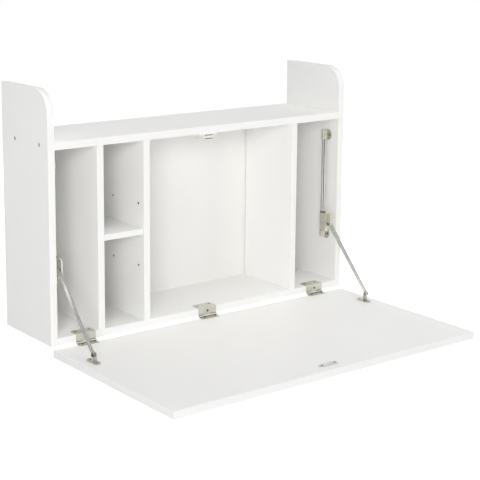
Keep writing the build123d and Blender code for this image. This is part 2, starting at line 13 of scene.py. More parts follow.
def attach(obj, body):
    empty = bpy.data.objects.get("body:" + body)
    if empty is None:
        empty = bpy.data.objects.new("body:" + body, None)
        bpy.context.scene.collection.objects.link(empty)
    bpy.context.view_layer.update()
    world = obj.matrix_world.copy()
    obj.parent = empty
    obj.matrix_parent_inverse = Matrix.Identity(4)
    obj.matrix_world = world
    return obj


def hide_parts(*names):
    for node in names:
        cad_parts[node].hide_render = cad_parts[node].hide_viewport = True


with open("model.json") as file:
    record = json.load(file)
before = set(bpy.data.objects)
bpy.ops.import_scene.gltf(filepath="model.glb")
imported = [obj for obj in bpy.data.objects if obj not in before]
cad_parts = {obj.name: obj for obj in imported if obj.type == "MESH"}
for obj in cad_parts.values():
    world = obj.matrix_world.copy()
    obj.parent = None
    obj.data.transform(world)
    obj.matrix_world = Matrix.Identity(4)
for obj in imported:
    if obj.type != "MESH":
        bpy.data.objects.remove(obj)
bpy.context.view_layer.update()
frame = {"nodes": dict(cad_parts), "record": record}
NODES = frame["nodes"]
BEHAVIOUR = frame["record"]["behaviour"]
BODY_OF = {node: body for body, members in BEHAVIOUR["bodies"].items() for node in members}

MM = 0.001
TINY = 1e-6
# Both sides of the desk, each with its way along X towards the middle
SIDES = {"left": 1, "right": -1}

# Colours, linear
WHITE_BOARD = (0.940, 0.936, 0.920)
WHITE_BACK = (0.925, 0.918, 0.895)
RAW_FIBREBOARD = (0.30, 0.19, 0.11)
# Bare chipboard, painted much darker than it is, for the shade deep in the pin holes
HOLE_SHADE_CHIPBOARD = (0.055, 0.040, 0.027)
WHITE_PLASTIC = (0.86, 0.86, 0.85)
NICKEL = (0.70, 0.69, 0.61)
CHROME = (0.76, 0.76, 0.75)
# Screw zinc, painted far darker than zinc plating is, for the shade in the screws' recesses
SCREW_ZINC_SHADED = (0.13, 0.127, 0.118)
PLATE = (0.80, 0.80, 0.78)
ARM_STRIP = (0.90, 0.90, 0.88)
# Painted shade on the narrow sides of the stay arms, as if less light fell on them
ARM_SIDE_SHADE = (0.40, 0.40, 0.39)
# Sliders' nickel, paler than the other nickel: painted light, for the light that the shaded bay keeps from
# them
SLIDER_NICKEL_PAINTED_LIGHT = (0.85, 0.83, 0.74)
# Flap brackets' nickel, darker than the other nickel: painted shade for the dark surroundings that they
# reflect
BRACKET_NICKEL_PAINTED_SHADE = (0.56, 0.55, 0.50)
CUP_NICKEL = (0.76, 0.74, 0.65)
SHELF_SCREW = (0.52, 0.52, 0.51)
RIVET_STEEL = (0.15, 0.145, 0.135)
POLE_STEEL = (0.10, 0.10, 0.095)
# Painted shade: the near-black that tight gaps in the metal parts are darkened to
CREVICE_SHADE = (0.035, 0.030, 0.024)
DARK_PLASTIC = (0.035, 0.034, 0.033)
FERRITE = (0.07, 0.07, 0.075)
BEECH_LIGHT = (0.62, 0.42, 0.25)
BEECH_DARK = (0.48, 0.30, 0.16)
FLOOR_COLOUR = (0.86, 0.86, 0.86)
WHITE = (1, 1, 1)

# Lamps and grey cards: degrees round the desk from its front, degrees up, and metres
AMBIENT = 0.16
LAMPS = (
    {"name": "key", "azimuth": -36.0, "elevation": 12.0, "distance": 7.0, "size": 2.4, "level": 0.37},
    {"name": "near_key", "azimuth": -45.0, "elevation": 12.0, "distance": 2.6, "size": 1.0, "level": 0.18},
    {"name": "side", "azimuth": -80.0, "elevation": 10.0, "distance": 1.8, "size": 0.8, "level": 0.06},
    {"name": "fill", "azimuth": 45.0, "elevation": 12.0, "distance": 2.2, "size": 1.0, "level": 0.16},
    {"name": "top", "azimuth": 0.0, "elevation": 78.0, "distance": 6.0, "size": 3.5, "level": 0.39},
    {"name": "right", "azimuth": 100.0, "elevation": 15.0, "distance": 6.0, "size": 3.0, "level": 0.21},
    {"name": "rear", "azimuth": 172.0, "elevation": 12.0, "distance": 6.0, "size": 3.0, "level": 0.33},
)
FLAGS = (
    {"name": "flag_front", "azimuth": -24.0, "distance": 3.2, "width": 3.4, "height": 1.05, "tone": 0.08},
    {"name": "flag_side", "azimuth": -126.0, "distance": 1.55, "width": 0.9, "height": 0.6, "tone": 0.35},
)
FLOOR_LEVEL = -1.07
FLOOR_HALF = 12.0
FLOOR_GLOW = 0.9
MATTE_SPECULAR = 0.1
MATTE_ROUGHNESS = 0.9

# Camera: its place in metres, its turns in degrees, its lens and sensor in millimetres
CAMERA_PLACE = (-1.58766, -2.31940, 0.46030)
CAMERA_YAW = 38.005
CAMERA_PITCH = 10.572
CAMERA_ROLL = 0.519
CAMERA_LENS = 98.536
CAMERA_SENSOR = 36.0
CAMERA_SHIFT_Y = -0.15


# Material helpers

def start_material(name, metallic=0.0, specular=0.5):
    """A new material with its node tree and its main shader."""
    material = bpy.data.materials.new(name)
    material.use_nodes = True
    tree = material.node_tree
    shader = tree.nodes["Principled BSDF"]
    shader.inputs["Metallic"].default_value = metallic
    shader.inputs["Specular IOR Level"].default_value = specular
    return material, tree, shader


def add_node(tree, kind, settings=None, **inputs):
    """Adds a node, with its settings and the values of its sockets."""
    node = tree.nodes.new(kind)
    for key, value in (settings or {}).items():
        setattr(node, key, value)
    for key, value in inputs.items():
        node.inputs[key.replace("_", " ")].default_value = value
    return node


def place_of(tree, scale=(1, 1, 1)):
    """Object coordinates, stretched by scale."""
    coordinate = add_node(tree, "ShaderNodeTexCoord")
    mapping = add_node(tree, "ShaderNodeMapping", Scale=scale)
    tree.links.new(coordinate.outputs["Object"], mapping.inputs["Vector"])
    return mapping.outputs["Vector"]


def noise(tree, vector, scale, detail=3.0, roughness=0.55):
    """A noise value, 0 to 1."""
    node = add_node(tree, "ShaderNodeTexNoise", Scale=scale, Detail=detail, Roughness=roughness)
    tree.links.new(vector, node.inputs["Vector"])
    return node.outputs["Fac"]


def spread(tree, value, low, high, start=0.3, end=0.7):
    """Maps a value from start..end to low..high."""
    node = add_node(tree, "ShaderNodeMapRange", From_Min=start, From_Max=end, To_Min=low, To_Max=high)
    tree.links.new(value, node.inputs["Value"])
    return node.outputs["Result"]


def ramp(tree, value, low_colour, high_colour, start=0.3, end=0.7):
    """A colour between two, by a value."""
    node = add_node(tree, "ShaderNodeValToRGB")
    first, last = node.color_ramp.elements
    first.position = start
    first.color = (*low_colour, 1)
    last.position = end
    last.color = (*high_colour, 1)
    tree.links.new(value, node.inputs["Fac"])
    return node.outputs["Color"]


# The sockets of a mix node that carry colours
MIX_FIRST = 6
MIX_SECOND = 7
MIX_RESULT = 2


def mix_colour(tree, factor, first, second):
    """A mix of two colours; first and second are sockets or plain colours."""
    node = add_node(tree, "ShaderNodeMix", {"data_type": "RGBA"})
    tree.links.new(factor, node.inputs["Factor"])
    for value, socket in ((first, node.inputs[MIX_FIRST]), (second, node.inputs[MIX_SECOND])):
        if isinstance(value, tuple):
            socket.default_value = (*value, 1)
        else:
            tree.links.new(value, socket)
    return node.outputs[MIX_RESULT]


def combine(tree, operation, first, second):
    """The result of a math operation on two values."""
    node = add_node(tree, "ShaderNodeMath", {"operation": operation})
    tree.links.new(first, node.inputs[0])
    tree.links.new(second, node.inputs[1])
    return node.outputs["Value"]


def bump(tree, shader, height, strength, distance):
    """Puts a bump on the shader."""
    node = add_node(tree, "ShaderNodeBump", Strength=strength, Distance=distance)
    tree.links.new(height, node.inputs["Height"])
    tree.links.new(node.outputs["Normal"], shader.inputs["Normal"])


def normal_along(tree, axis, normal="Normal"):
    """How far the surface faces along an axis, from -1 to 1."""
    geometry = add_node(tree, "ShaderNodeNewGeometry")
    split = add_node(tree, "ShaderNodeSeparateXYZ")
    tree.links.new(geometry.outputs[normal], split.inputs["Vector"])
    return split.outputs[axis]


def edge_mask(tree, radius, breakup):
    """High on edges within a radius, broken up by a noise value."""
    geometry = add_node(tree, "ShaderNodeNewGeometry")
    rounded = add_node(tree, "ShaderNodeBevel", {"samples": 4}, Radius=radius)
    dot = add_node(tree, "ShaderNodeVectorMath", {"operation": "DOT_PRODUCT"})
    tree.links.new(geometry.outputs["Normal"], dot.inputs[0])
    tree.links.new(rounded.outputs["Normal"], dot.inputs[1])
    turned = spread(tree, dot.outputs["Value"], low=1.0, high=0.0, start=0.85, end=0.99)
    return combine(tree, "MULTIPLY", turned, breakup)


def crevice_shade_mask(tree, reach):
    """High in tight gaps: painted shade, where the metal is darkened as if little light got in."""
    hidden = add_node(tree, "ShaderNodeAmbientOcclusion", {"samples": 8}, Distance=reach)
    return spread(tree, hidden.outputs["AO"], low=1.0, high=0.0, start=0.34, end=0.80)


def narrow_side_shade_mask(tree):
    """High on the narrow sides of a strip that stands across X, which painted shade darkens."""
    across = add_node(tree, "ShaderNodeMath", {"operation": "ABSOLUTE"})
    tree.links.new(normal_along(tree, "X"), across.inputs[0])
    return spread(tree, across.outputs["Value"], low=1.0, high=0.0, start=0.4, end=0.9)


def scaled(colour, factor):
    """A colour made lighter or darker."""
    return tuple(channel * factor for channel in colour)


# Materials

def board_material(name, colour):
    """White melamine facing: faint tone drift, fine pearl texture, worn arrises."""
    material, tree, shader = start_material(name)
    place = place_of(tree)
    drift = noise(tree, place, scale=2.6)
    handled = noise(tree, place, scale=38.0, detail=5.0)
    pearl = noise(tree, place, scale=1300.0, detail=2.0)
    tone = ramp(tree, drift, scaled(colour, 0.985), scaled(colour, 1.01))
    touched = spread(tree, handled, low=0.0, high=0.12, start=0.40, end=0.75)
    wear = edge_mask(tree, 1.0 * MM, touched)
    colour_out = mix_colour(tree, wear, tone, scaled(colour, 0.80))
    tree.links.new(colour_out, shader.inputs["Base Color"])
    tree.links.new(spread(tree, handled, low=0.40, high=0.54), shader.inputs["Roughness"])
    bump(tree, shader, pearl, strength=0.18, distance=0.08 * MM)
    return material


def back_material():
    """Thin fibreboard: white lacquer on the front face, raw brown fibres behind."""
    material, tree, shader = start_material("back_fibreboard", specular=0.35)
    drift = noise(tree, place_of(tree), scale=3.1)
    fibres = noise(tree, place_of(tree, (1, 1, 0.35)), scale=260.0, detail=6.0, roughness=0.7)
    lacquer = ramp(tree, drift, scaled(WHITE_BACK, 0.98), scaled(WHITE_BACK, 1.01))
    raw = ramp(tree, fibres, scaled(RAW_FIBREBOARD, 0.75), scaled(RAW_FIBREBOARD, 1.25))
    facing = normal_along(tree, "Y", "True Normal")
    behind = spread(tree, facing, low=0.0, high=1.0, start=-0.6, end=-0.4)
    tree.links.new(mix_colour(tree, behind, lacquer, raw), shader.inputs["Base Color"])
    tree.links.new(spread(tree, fibres, low=0.46, high=0.62), shader.inputs["Roughness"])
    bump(tree, shader, fibres, strength=0.2, distance=0.05 * MM)
    return material


def metal_material(
    name, colour, smooth, rough, grain=(1, 1, 1), lift=0.12, metallic=1.0, shade_reach=2.5, side_shade=None,
):
    """Plated metal: drifting tone, uneven gloss, fine grain, bright rubbed edges, painted shade in
    crevices.

    The shade reach argument is how far the painted shade of a crevice reaches, in millimetres. A strip
    may have a side shade colour for its narrow sides: painted shade, as if less light fell on them.
    """
    material, tree, shader = start_material(name, metallic=metallic)
    place = place_of(tree, grain)
    drift = noise(tree, place, scale=60.0, detail=4.0)
    fine = noise(tree, place, scale=1800.0)
    tone = ramp(tree, drift, scaled(colour, 0.88), scaled(colour, 1.08))
    rubbed = edge_mask(tree, 0.5 * MM, spread(tree, drift, low=0.2, high=0.8))
    bright = tuple(min(1.0, channel) for channel in scaled(colour, 1.35))
    plated = mix_colour(tree, rubbed, tone, bright)
    # Painted shade: the narrow sides of a strip are darkened as if less light fell on them
    if side_shade:
        plated = mix_colour(tree, narrow_side_shade_mask(tree), plated, side_shade)
    # Painted shade: crevices in the metal are darkened towards a near-black colour
    crevice_shaded = mix_colour(tree, crevice_shade_mask(tree, shade_reach * MM), plated, CREVICE_SHADE)
    tree.links.new(crevice_shaded, shader.inputs["Base Color"])
    tree.links.new(spread(tree, fine, low=smooth, high=rough), shader.inputs["Roughness"])
    bump(tree, shader, fine, strength=lift, distance=0.04 * MM)
    return material


# A rubbed plastic edge: this share of the plastic's colour, and this much white
PALE_SHARE = 0.7
PALE_WHITE = 0.25


def plastic_material(name, colour, smooth, rough):
    """Moulded plastic: fine spark-eroded skin and paler edges."""
    material, tree, shader = start_material(name, specular=0.45)
    place = place_of(tree)
    drift = noise(tree, place, scale=90.0)
    skin = noise(tree, place, scale=1500.0, detail=2.0)
    tone = ramp(tree, drift, scaled(colour, 0.95), scaled(colour, 1.03))
    pale = edge_mask(tree, 0.4 * MM, spread(tree, drift, low=0.1, high=0.5))
    edge_colour = tuple(PALE_SHARE * channel + PALE_WHITE for channel in colour)
    tree.links.new(mix_colour(tree, pale, tone, edge_colour), shader.inputs["Base Color"])
    tree.links.new(spread(tree, skin, low=smooth, high=rough), shader.inputs["Roughness"])
    bump(tree, shader, skin, strength=0.15, distance=0.05 * MM)
    return material


def ferrite_material():
    """Sintered magnet: dull, dark and slightly pitted."""
    material, tree, shader = start_material("magnet_ferrite", specular=0.4)
    pits = noise(tree, place_of(tree), scale=900.0, detail=5.0, roughness=0.7)
    tone = ramp(tree, pits, scaled(FERRITE, 0.6), scaled(FERRITE, 1.4))
    tree.links.new(tone, shader.inputs["Base Color"])
    tree.links.new(spread(tree, pits, low=0.55, high=0.8), shader.inputs["Roughness"])
    bump(tree, shader, pits, strength=0.3, distance=0.1 * MM)
    return material


def hole_shade_chipboard_material():
    """Bare chipboard: dark brown grains with paler chips, painted far darker than the board for the shade
    deep in the holes.
    """
    material, tree, shader = start_material("chipboard_painted_shade", specular=0.2)
    grains = noise(tree, place_of(tree), scale=1100.0, detail=4.0, roughness=0.7)
    tone = ramp(tree, grains, scaled(HOLE_SHADE_CHIPBOARD, 0.6), scaled(HOLE_SHADE_CHIPBOARD, 1.6))
    tree.links.new(tone, shader.inputs["Base Color"])
    tree.links.new(spread(tree, grains, low=0.7, high=0.9), shader.inputs["Roughness"])
    bump(tree, shader, grains, strength=0.3, distance=0.1 * MM)
    return material


def beech_material():
    """Turned beech with its short flecks."""
    material, tree, shader = start_material("dowel_beech", specular=0.3)
    along = place_of(tree, (1, 1, 0.08))
    flecks = noise(tree, along, scale=900.0, detail=4.0, roughness=0.65)
    tree.links.new(ramp(tree, flecks, BEECH_DARK, BEECH_LIGHT), shader.inputs["Base Color"])
    tree.links.new(spread(tree, flecks, low=0.55, high=0.75), shader.inputs["Roughness"])
    bump(tree, shader, flecks, strength=0.25, distance=0.1 * MM)
    return material


def matte_material(name, colour):
    """A plain matte surface for the floor and the cards, with its node tree and its main shader."""
    material, tree, shader = start_material(name, specular=MATTE_SPECULAR)
    shader.inputs["Base Color"].default_value = (*colour, 1)
    shader.inputs["Roughness"].default_value = MATTE_ROUGHNESS
    return material, tree, shader


# The materials of the slots, and of the nodes and the stays' parts that have one of their own

SLOT_MATERIALS = {
    "white_board": board_material("white_melamine", WHITE_BOARD),
    "back_board": back_material(),
    "nickel": metal_material("satin_nickel", NICKEL, smooth=0.26, rough=0.40, shade_reach=4.0),
    "chrome": metal_material(
        "bright_chrome", CHROME, smooth=0.07, rough=0.13, grain=(1, 1, 0.1), lift=0.04,
    ),
    # Painted shade: the screws' zinc is darkened for the shade in their recesses
    "zinc_screw": metal_material("zinc_plate_painted_shade", SCREW_ZINC_SHADED, smooth=0.30, rough=0.45),
    "plate_steel": metal_material("sheet_steel", PLATE, smooth=0.28, rough=0.42),
    "dark_plastic": plastic_material("dark_plastic", DARK_PLASTIC, smooth=0.40, rough=0.55),
    "white_plastic": plastic_material("white_plastic", WHITE_PLASTIC, smooth=0.34, rough=0.48),
    "ferrite": ferrite_material(),
    "beech": beech_material(),
}
NODE_MATERIALS = {
    "catch_poles": metal_material("pole_steel", POLE_STEEL, smooth=0.35, rough=0.5),
    "shelf_screws": metal_material(
        "shelf_screw_zinc", SHELF_SCREW, smooth=0.35, rough=0.5, metallic=0.6, shade_reach=1.2,
    ),
    "flap_rivets": metal_material("rivet_steel", RIVET_STEEL, smooth=0.25, rough=0.40),
}
STAY_MATERIALS = {
    # The arms' narrow sides carry painted shade
    "arm": metal_material(
        "arm_strip", ARM_STRIP, smooth=0.20, rough=0.30, metallic=0.9, side_shade=ARM_SIDE_SHADE,
    ),
    # Painted shade: the flap brackets' nickel is darker than the rest
    "flap_bracket": metal_material("bracket_nickel_painted_shade", BRACKET_NICKEL_PAINTED_SHADE, smooth=0.20, rough=0.32, shade_reach=1.6),
    # Painted light: the sliders' nickel is made paler than the rest
    "slider": metal_material("slider_nickel_painted_light", SLIDER_NICKEL_PAINTED_LIGHT, smooth=0.26, rough=0.40, metallic=0.8, shade_reach=1.4),
    "rod_brackets": metal_material(
        "cup_nickel", CUP_NICKEL, smooth=0.20, rough=0.34, metallic=0.8, shade_reach=1.2,
    ),
}
for side in SIDES:
    for part, material in STAY_MATERIALS.items():
        NODE_MATERIALS[f"{side}_{part}"] = material


def slot_of(node):
    """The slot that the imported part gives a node."""
    return NODES[node].data.materials[0].name.split(".")[0]


SLOTS = {node: slot_of(node) for node in NODES}


def material_of(node):
    """The node's own material, or the one of its slot."""
    return NODE_MATERIALS.get(node, SLOT_MATERIALS[SLOTS[node]])


def dress(obj, material):
    """Gives an object one material."""
    obj.data.materials.clear()
    obj.data.materials.append(material)


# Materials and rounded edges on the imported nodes

BOARD_ROUNDING = 0.7 * MM
FINE_ROUNDING = 0.3 * MM
ROUNDING_SEGMENTS = 2
WELD_GAP = 0.001 * MM
FLAT_ANGLE = math.radians(0.5)
SHARP_ANGLE = math.radians(35)


def round_edges(obj, width):
    """Welds the facets, joins flat ones and rounds the sharp edges, all as modifiers."""
    weld = obj.modifiers.new("weld", "WELD")
    weld.merge_threshold = WELD_GAP
    flat = obj.modifiers.new("flat_faces", "DECIMATE")
    flat.decimate_type = "DISSOLVE"
    flat.angle_limit = FLAT_ANGLE
    rounding = obj.modifiers.new("rounded_edges", "BEVEL")
    rounding.width = width
    rounding.segments = ROUNDING_SEGMENTS
    rounding.limit_method = "ANGLE"
    rounding.angle_limit = SHARP_ANGLE
    rounding.harden_normals = True


for node, obj in NODES.items():
    dress(obj, material_of(node))
    round_edges(obj, BOARD_ROUNDING if SLOTS[node] == "white_board" else FINE_ROUNDING)


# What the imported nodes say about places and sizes

MICRON = 1e-6
MM_DIGITS = 3


def to_mm(metres):
    """Lengths in millimetres, rounded to a thousandth."""
    return np.round(np.array(metres) / MM, MM_DIGITS)


def corners_of(node):
    """The corner points of a node, one row each."""
    return np.array([vertex.co for vertex in NODES[node].data.vertices])


def box_of(node):
    """The low and the high corner of a node, in millimetres."""
    points = corners_of(node)
    return to_mm(points.min(0)), to_mm(points.max(0))


def solids_of(node):
    """The separate solids of a node, each as an array of its corner points."""
    mesh = NODES[node].data
    keys = [tuple(round(c / MICRON) for c in vertex.co) for vertex in mesh.vertices]
    parent = {key: key for key in keys}

    def root(key):
        while parent[key] != key:
            parent[key] = parent[parent[key]]
            key = parent[key]
        return key

    for polygon in mesh.polygons:
        first, *others = [keys[i] for i in polygon.vertices]
        for other in others:
            parent[root(other)] = root(first)
    groups = {}
    for key in parent:
        groups.setdefault(root(key), []).append(key)
    return [np.array(groups[key], float) * MICRON for key in sorted(groups)]


def shank_frame(points):
    """Head end, outward axis, head radius and length of a screw or pin."""
    low, high = points.min(0), points.max(0)
    axis = int(np.argmax(high - low))
    middle = (low + high) / 2
    across = np.delete(points - middle, axis, 1)
    radius = np.hypot(across[:, 0], across[:, 1])
    upper = points[:, axis] > middle[axis]
    sign = 1.0 if radius[upper].max() >= radius[~upper].max() else -1.0
    outward = Vector((0, 0, 0))
    outward[axis] = sign
    end = Vector(middle)
    end[axis] = high[axis] if sign > 0 else low[axis]
    return end, outward, radius.max(), high[axis] - low[axis]


# New pieces

def put_in_scene(name, data):
    """A new object in the scene."""
    obj = bpy.data.objects.new(name, data)
    bpy.context.scene.collection.objects.link(obj)
    return obj


def add_piece(mesh, name, material, body):
    """Turns a finished mesh into a piece with a material and a body to ride on."""
    bmesh.ops.recalc_face_normals(mesh, faces=mesh.faces)
    data = bpy.data.meshes.new(name)
    mesh.to_mesh(data)
    mesh.free()
    obj = put_in_scene(name, data)
    dress(obj, material)
    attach(obj, body)
    return obj


def stand_in(mesh, name, node):
    """Turns a finished mesh into the piece that is shown in place of a node."""
    obj = add_piece(mesh, name, material_of(node), BODY_OF[node])
    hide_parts(node)
    return obj


def smooth_with_crisp_edges(obj):
    """Smooth shading that stops at sharp edges."""
    for polygon in obj.data.polygons:
        polygon.use_smooth = True
    split = obj.modifiers.new("crisp_edges", "EDGE_SPLIT")
    split.split_angle = SHARP_ANGLE


def join_loops(mesh, first, second):
    """Faces all round between two loops with the same number of points."""
    for step in range(len(first)):
        following = (step + 1) % len(first)
        mesh.faces.new((first[step], first[following], second[following], second[step]))


# Turned screws, pins and rods, in the places of the plain ones

RING_STEPS = 24
# Screws: shares of the head's radius, then the head's profile from its rim as radius and height
SCREW_SHANK = 0.52
SCREW_HEAD = 0.62
SCREW_PROFILE = ((1.0, -0.06), (1.0, 0.02), (0.85, 0.07), (0.66, 0.10))
RECESS_TOP = 0.10
RECESS_FLOOR = -0.5
RECESS_TOP_CROSS = (0.58, 0.17)
RECESS_FLOOR_CROSS = (0.34, 0.10)
# The screw's tip: shares of the shank's radius
TIP_LENGTH = 1.6
TIP_RADIUS = 0.12
# Pins: the eased end, as a share of the radius
PIN_EASE = 0.2
RAISED_SCREWS = (
    "hinge_carcass_screws", "hinge_flap_screws", "rod_bracket_screws",
    "flap_bracket_screws", "strike_screws", "catch_screws",
)
SUNK_SCREWS = ("shelf_screws", "base_screws")
# How deep a sunk screw sits, and how round pieces fill six-sided ones, as shares of the radius
SCREW_SINK = 0.12
SCREW_ROUNDNESS = 0.97
HEXAGON_FLATS = math.cos(math.radians(30))


def ring(mesh, radius, height):
    """A ring of points about the local Z axis; radius may be a function of the angle."""
    made = []
    for step in range(RING_STEPS):
        angle = 2 * math.pi * step / RING_STEPS
        reach = radius(angle) if callable(radius) else radius
        made.append(mesh.verts.new((reach * math.cos(angle), reach * math.sin(angle), height)))
    return made


def stack(mesh, rings):
    """Closes a stack of rings into one skin, from the first ring to the last."""
    for lower, upper in zip(rings, rings[1:]):
        join_loops(mesh, lower, upper)
    mesh.faces.new(rings[-1])
    mesh.faces.new(list(reversed(rings[0])))


def cross(arm, half_width):
    """Outline of a cross recess as a radius by angle."""
    def reach(angle):
        c = max(abs(math.cos(angle)), TINY)
        s = max(abs(math.sin(angle)), TINY)
        return max(min(arm / c, half_width / s), min(arm / s, half_width / c))
    return reach


def screw_mesh(mesh, radius, length):
    """A countersunk screw with a slightly domed head and a deep cross recess; its rim lies at z 0."""
    shank = SCREW_SHANK * radius
    wide = cross(*(share * radius for share in RECESS_TOP_CROSS))
    narrow = cross(*(share * radius for share in RECESS_FLOOR_CROSS))
    stack(mesh, [
        ring(mesh, TIP_RADIUS * shank, -length),
        ring(mesh, shank, -length + TIP_LENGTH * shank),
        ring(mesh, shank, -SCREW_HEAD * radius),
        *(ring(mesh, share * radius, height * radius) for share, height in SCREW_PROFILE),
        ring(mesh, wide, RECESS_TOP * radius),
        ring(mesh, narrow, RECESS_FLOOR * radius),
    ])


def pin_mesh(mesh, radius, length):
    """A round pin with eased ends; it ends at z 0."""
    ease = PIN_EASE * radius
    stack(mesh, [
        ring(mesh, radius - ease, -length),
        ring(mesh, radius, -length + ease),
        ring(mesh, radius, -ease),
        ring(mesh, radius - ease, 0.0),
    ])


def add_turned(mesh, make, sizes, end, outward):
    """Adds a turned part that ends at a point and looks outward from there."""
    part = bmesh.new()
    make(part, *sizes)
    turn = outward.to_track_quat("Z", "Y").to_matrix().to_4x4()
    part.transform(Matrix.Translation(end) @ turn)
    data = bpy.data.meshes.new("part")
    part.to_mesh(data)
    part.free()
    mesh.from_mesh(data)
    bpy.data.meshes.remove(data)


def replace_turned(node, make, roundness=1.0, sink=0.0):
    """Replaces all solids of a node by turned pieces in the same places, sunk by a share of the radius."""
    mesh = bmesh.new()
    for points in solids_of(node):
        end, outward, radius, length = shank_frame(points)
        add_turned(mesh, make, (radius * roundness, length), end - outward * sink * radius, outward)
    smooth_with_crisp_edges(stand_in(mesh, node + "_turned", node))


for node in RAISED_SCREWS:
    replace_turned(node, screw_mesh, SCREW_ROUNDNESS)
for node in SUNK_SCREWS:
    replace_turned(node, screw_mesh, SCREW_ROUNDNESS, SCREW_SINK)
replace_turned("shelf_pins", pin_mesh, HEXAGON_FLATS)
for side in SIDES:
    replace_turned(side + "_stay_rod", pin_mesh)


# Domed heads of the rivets on the sliders

LUG_FRONT = 10.0 * MM
CAP_MARGIN = 0.15 * MM
CAP_SINK = 0.5 * MM
# The dome from its rim, as shares of its radius: radius and height
CAP_PROFILE = ((1.0, 0.0), (0.90, 0.12), (0.65, 0.22), (0.30, 0.27))


def cap_mesh(mesh, radius):
    """A low dome that closes over a flat head; the head ends at z 0."""
    stack(mesh, [
        ring(mesh, radius, -CAP_SINK),
        *(ring(mesh, share * radius, height * radius) for share, height in CAP_PROFILE),
    ])


def cap_rivet(side, way):
    """Puts a dome on the head at the front of a slider's lug."""
    slider = side + "_slider"
    points = corners_of(slider)
    front = points[points[:, 1] < points[:, 1].min() + LUG_FRONT]
    reach = front[:, 0] * way
    face = front[reach > reach.max() - WELD_GAP]
    low, high = face.min(0), face.max(0)
    radius = (high[2] - low[2]) / 2 + CAP_MARGIN
    mesh = bmesh.new()
    add_turned(mesh, cap_mesh, (radius,), Vector((low + high) / 2), Vector((way, 0, 0)))
    rivet_steel = material_of("flap_rivets")
    cap = add_piece(mesh, slider + "_rivet_cap", rivet_steel, BODY_OF[slider])
    smooth_with_crisp_edges(cap)


for side, way in SIDES.items():
    cap_rivet(side, way)


# The bottom panel, which places the pin holes and the hinges, in millimetres

BOTTOM_LOW, BOTTOM_HIGH = box_of("bottom_panel")
FRONT_Y = BOTTOM_LOW[1]
BASE_Z = BOTTOM_LOW[2]
BOARD_TOP_Z = BOTTOM_HIGH[2]


# Bare chipboard inside the free pin holes of the second bay, coloured dark as painted shade, in
# millimetres

# Heights of the holes above the desk's underside, their places in front of the wall, and their size
FREE_ROWS = (127.0, 255.0)
PIN_HOLE_YS = (-160.0, -66.0)
PIN_HOLE_R = 2.15
PIN_HOLE_DEPTH = 7.9
LINING_WALL = 0.1


def lining_mesh(mesh):
    """A thin cup that opens just behind z 0."""
    outer, inner = PIN_HOLE_R * MM, (PIN_HOLE_R - LINING_WALL) * MM
    depth, wall = PIN_HOLE_DEPTH * MM, LINING_WALL * MM
    stack(mesh, [
        ring(mesh, outer, -depth),
        ring(mesh, outer, -wall),
        ring(mesh, inner, -wall),
        ring(mesh, inner, -depth + wall),
    ])


def line_pin_holes():
    """The bare board that a drill leaves in each free hole, darkened as painted shade."""
    mesh = bmesh.new()
    _, left_wall = box_of("left_divider")
    right_wall, _ = box_of("middle_divider")
    for wall, way in ((left_wall, 1), (right_wall, -1)):
        for y in PIN_HOLE_YS:
            for row in FREE_ROWS:
                mouth = Vector((wall[0], y, row + BASE_Z)) * MM
                add_turned(mesh, lining_mesh, (), mouth, Vector((way, 0, 0)))
    lining = add_piece(mesh, "pin_hole_lining", hole_shade_chipboard_material(), "carcass")
    smooth_with_crisp_edges(lining)


line_pin_holes()


# Hinge leaves, cut from sheet, bent and rolled round the pin, in millimetres

HINGES = ("left", "centre", "right")
STEEL = 1.4
CORNER = 4.5
LEAF_HALF = 22.0
# The pin's axis, about which the flap turns
FLAP_JOINT = next(joint for joint in BEHAVIOUR["joints"] if joint["name"] == "flap_hinge")
_, AXIS_Y, AXIS_Z = to_mm(FLAP_JOINT["pos_m"])
ROLL_OUTER = 2.5
ROLL_INNER = 1.15
ROLL_SWEEP = 288.0
KNUCKLE_CLEAR = 3.1
# The carcass leaf: its depth on the panel, half the gap between its knuckles, and its screws
TOP_LEAF = 24.0
FINGER_GAP = 8.3
TOP_SCREW_X = 15.0
TOP_SCREW_Y = 15.0
FACE_SCREW_Z = 8.0
# The flap leaf: its tip and screws from the axis, and half the width of its knuckle
FLAP_TOP_Z = AXIS_Z - ROLL_OUTER
LEAF_TIP = 13.0
TAB_HALF = 8.0
FLAP_SCREW_X = 14.0
FLAP_SCREW_Y = 8.0
# Screw holes: the radius at the outer face and at the inner one
HOLE_MOUTH = 2.5
HOLE_THROAT = 1.6
# A triangle whose middle is within this share of a hole's radius fills the hole
IN_HOLE = 0.98
# The way of filling an outline that keeps only the triangles inside it
FILL_INSIDE = 1
HOLE_STEPS = 20
CORNER_STEPS = 5
BEND_STEPS = 5
ROLL_STEPS = 22


def arc(centre, radius, start, end, steps):
    """Points on an arc between two angles in degrees."""
    angles = [math.radians(start + (end - start) * step / steps) for step in range(steps + 1)]
    return [(centre[0] + radius * math.cos(a), centre[1] + radius * math.sin(a)) for a in angles]


def circle(centre, radius):
    """Points all round a screw hole."""
    return arc(centre, radius, 0, 360, HOLE_STEPS)[:-1]


def flat_faces(outline, holes):
    """The loops of an outline and its holes, and the triangles that fill the outline but not its holes."""
    loops = [outline] + [circle(centre, radius) for centre, radius in holes]
    points = [Vector(point) for loop in loops for point in loop]
    edges = []
    start = 0
    for loop in loops:
        count = len(loop)
        edges += [(start + i, start + (i + 1) % count) for i in range(count)]
        start += count
    made, _, faces, *_ = delaunay_2d_cdt(points, edges, [], FILL_INSIDE, TINY)
    kept = []
    for face in faces:
        middle = sum((made[i] for i in face), Vector((0, 0))) / len(face)
        if all((middle - Vector(centre)).length > IN_HOLE * radius for centre, radius in holes):
            kept.append(face)
    return loops, kept


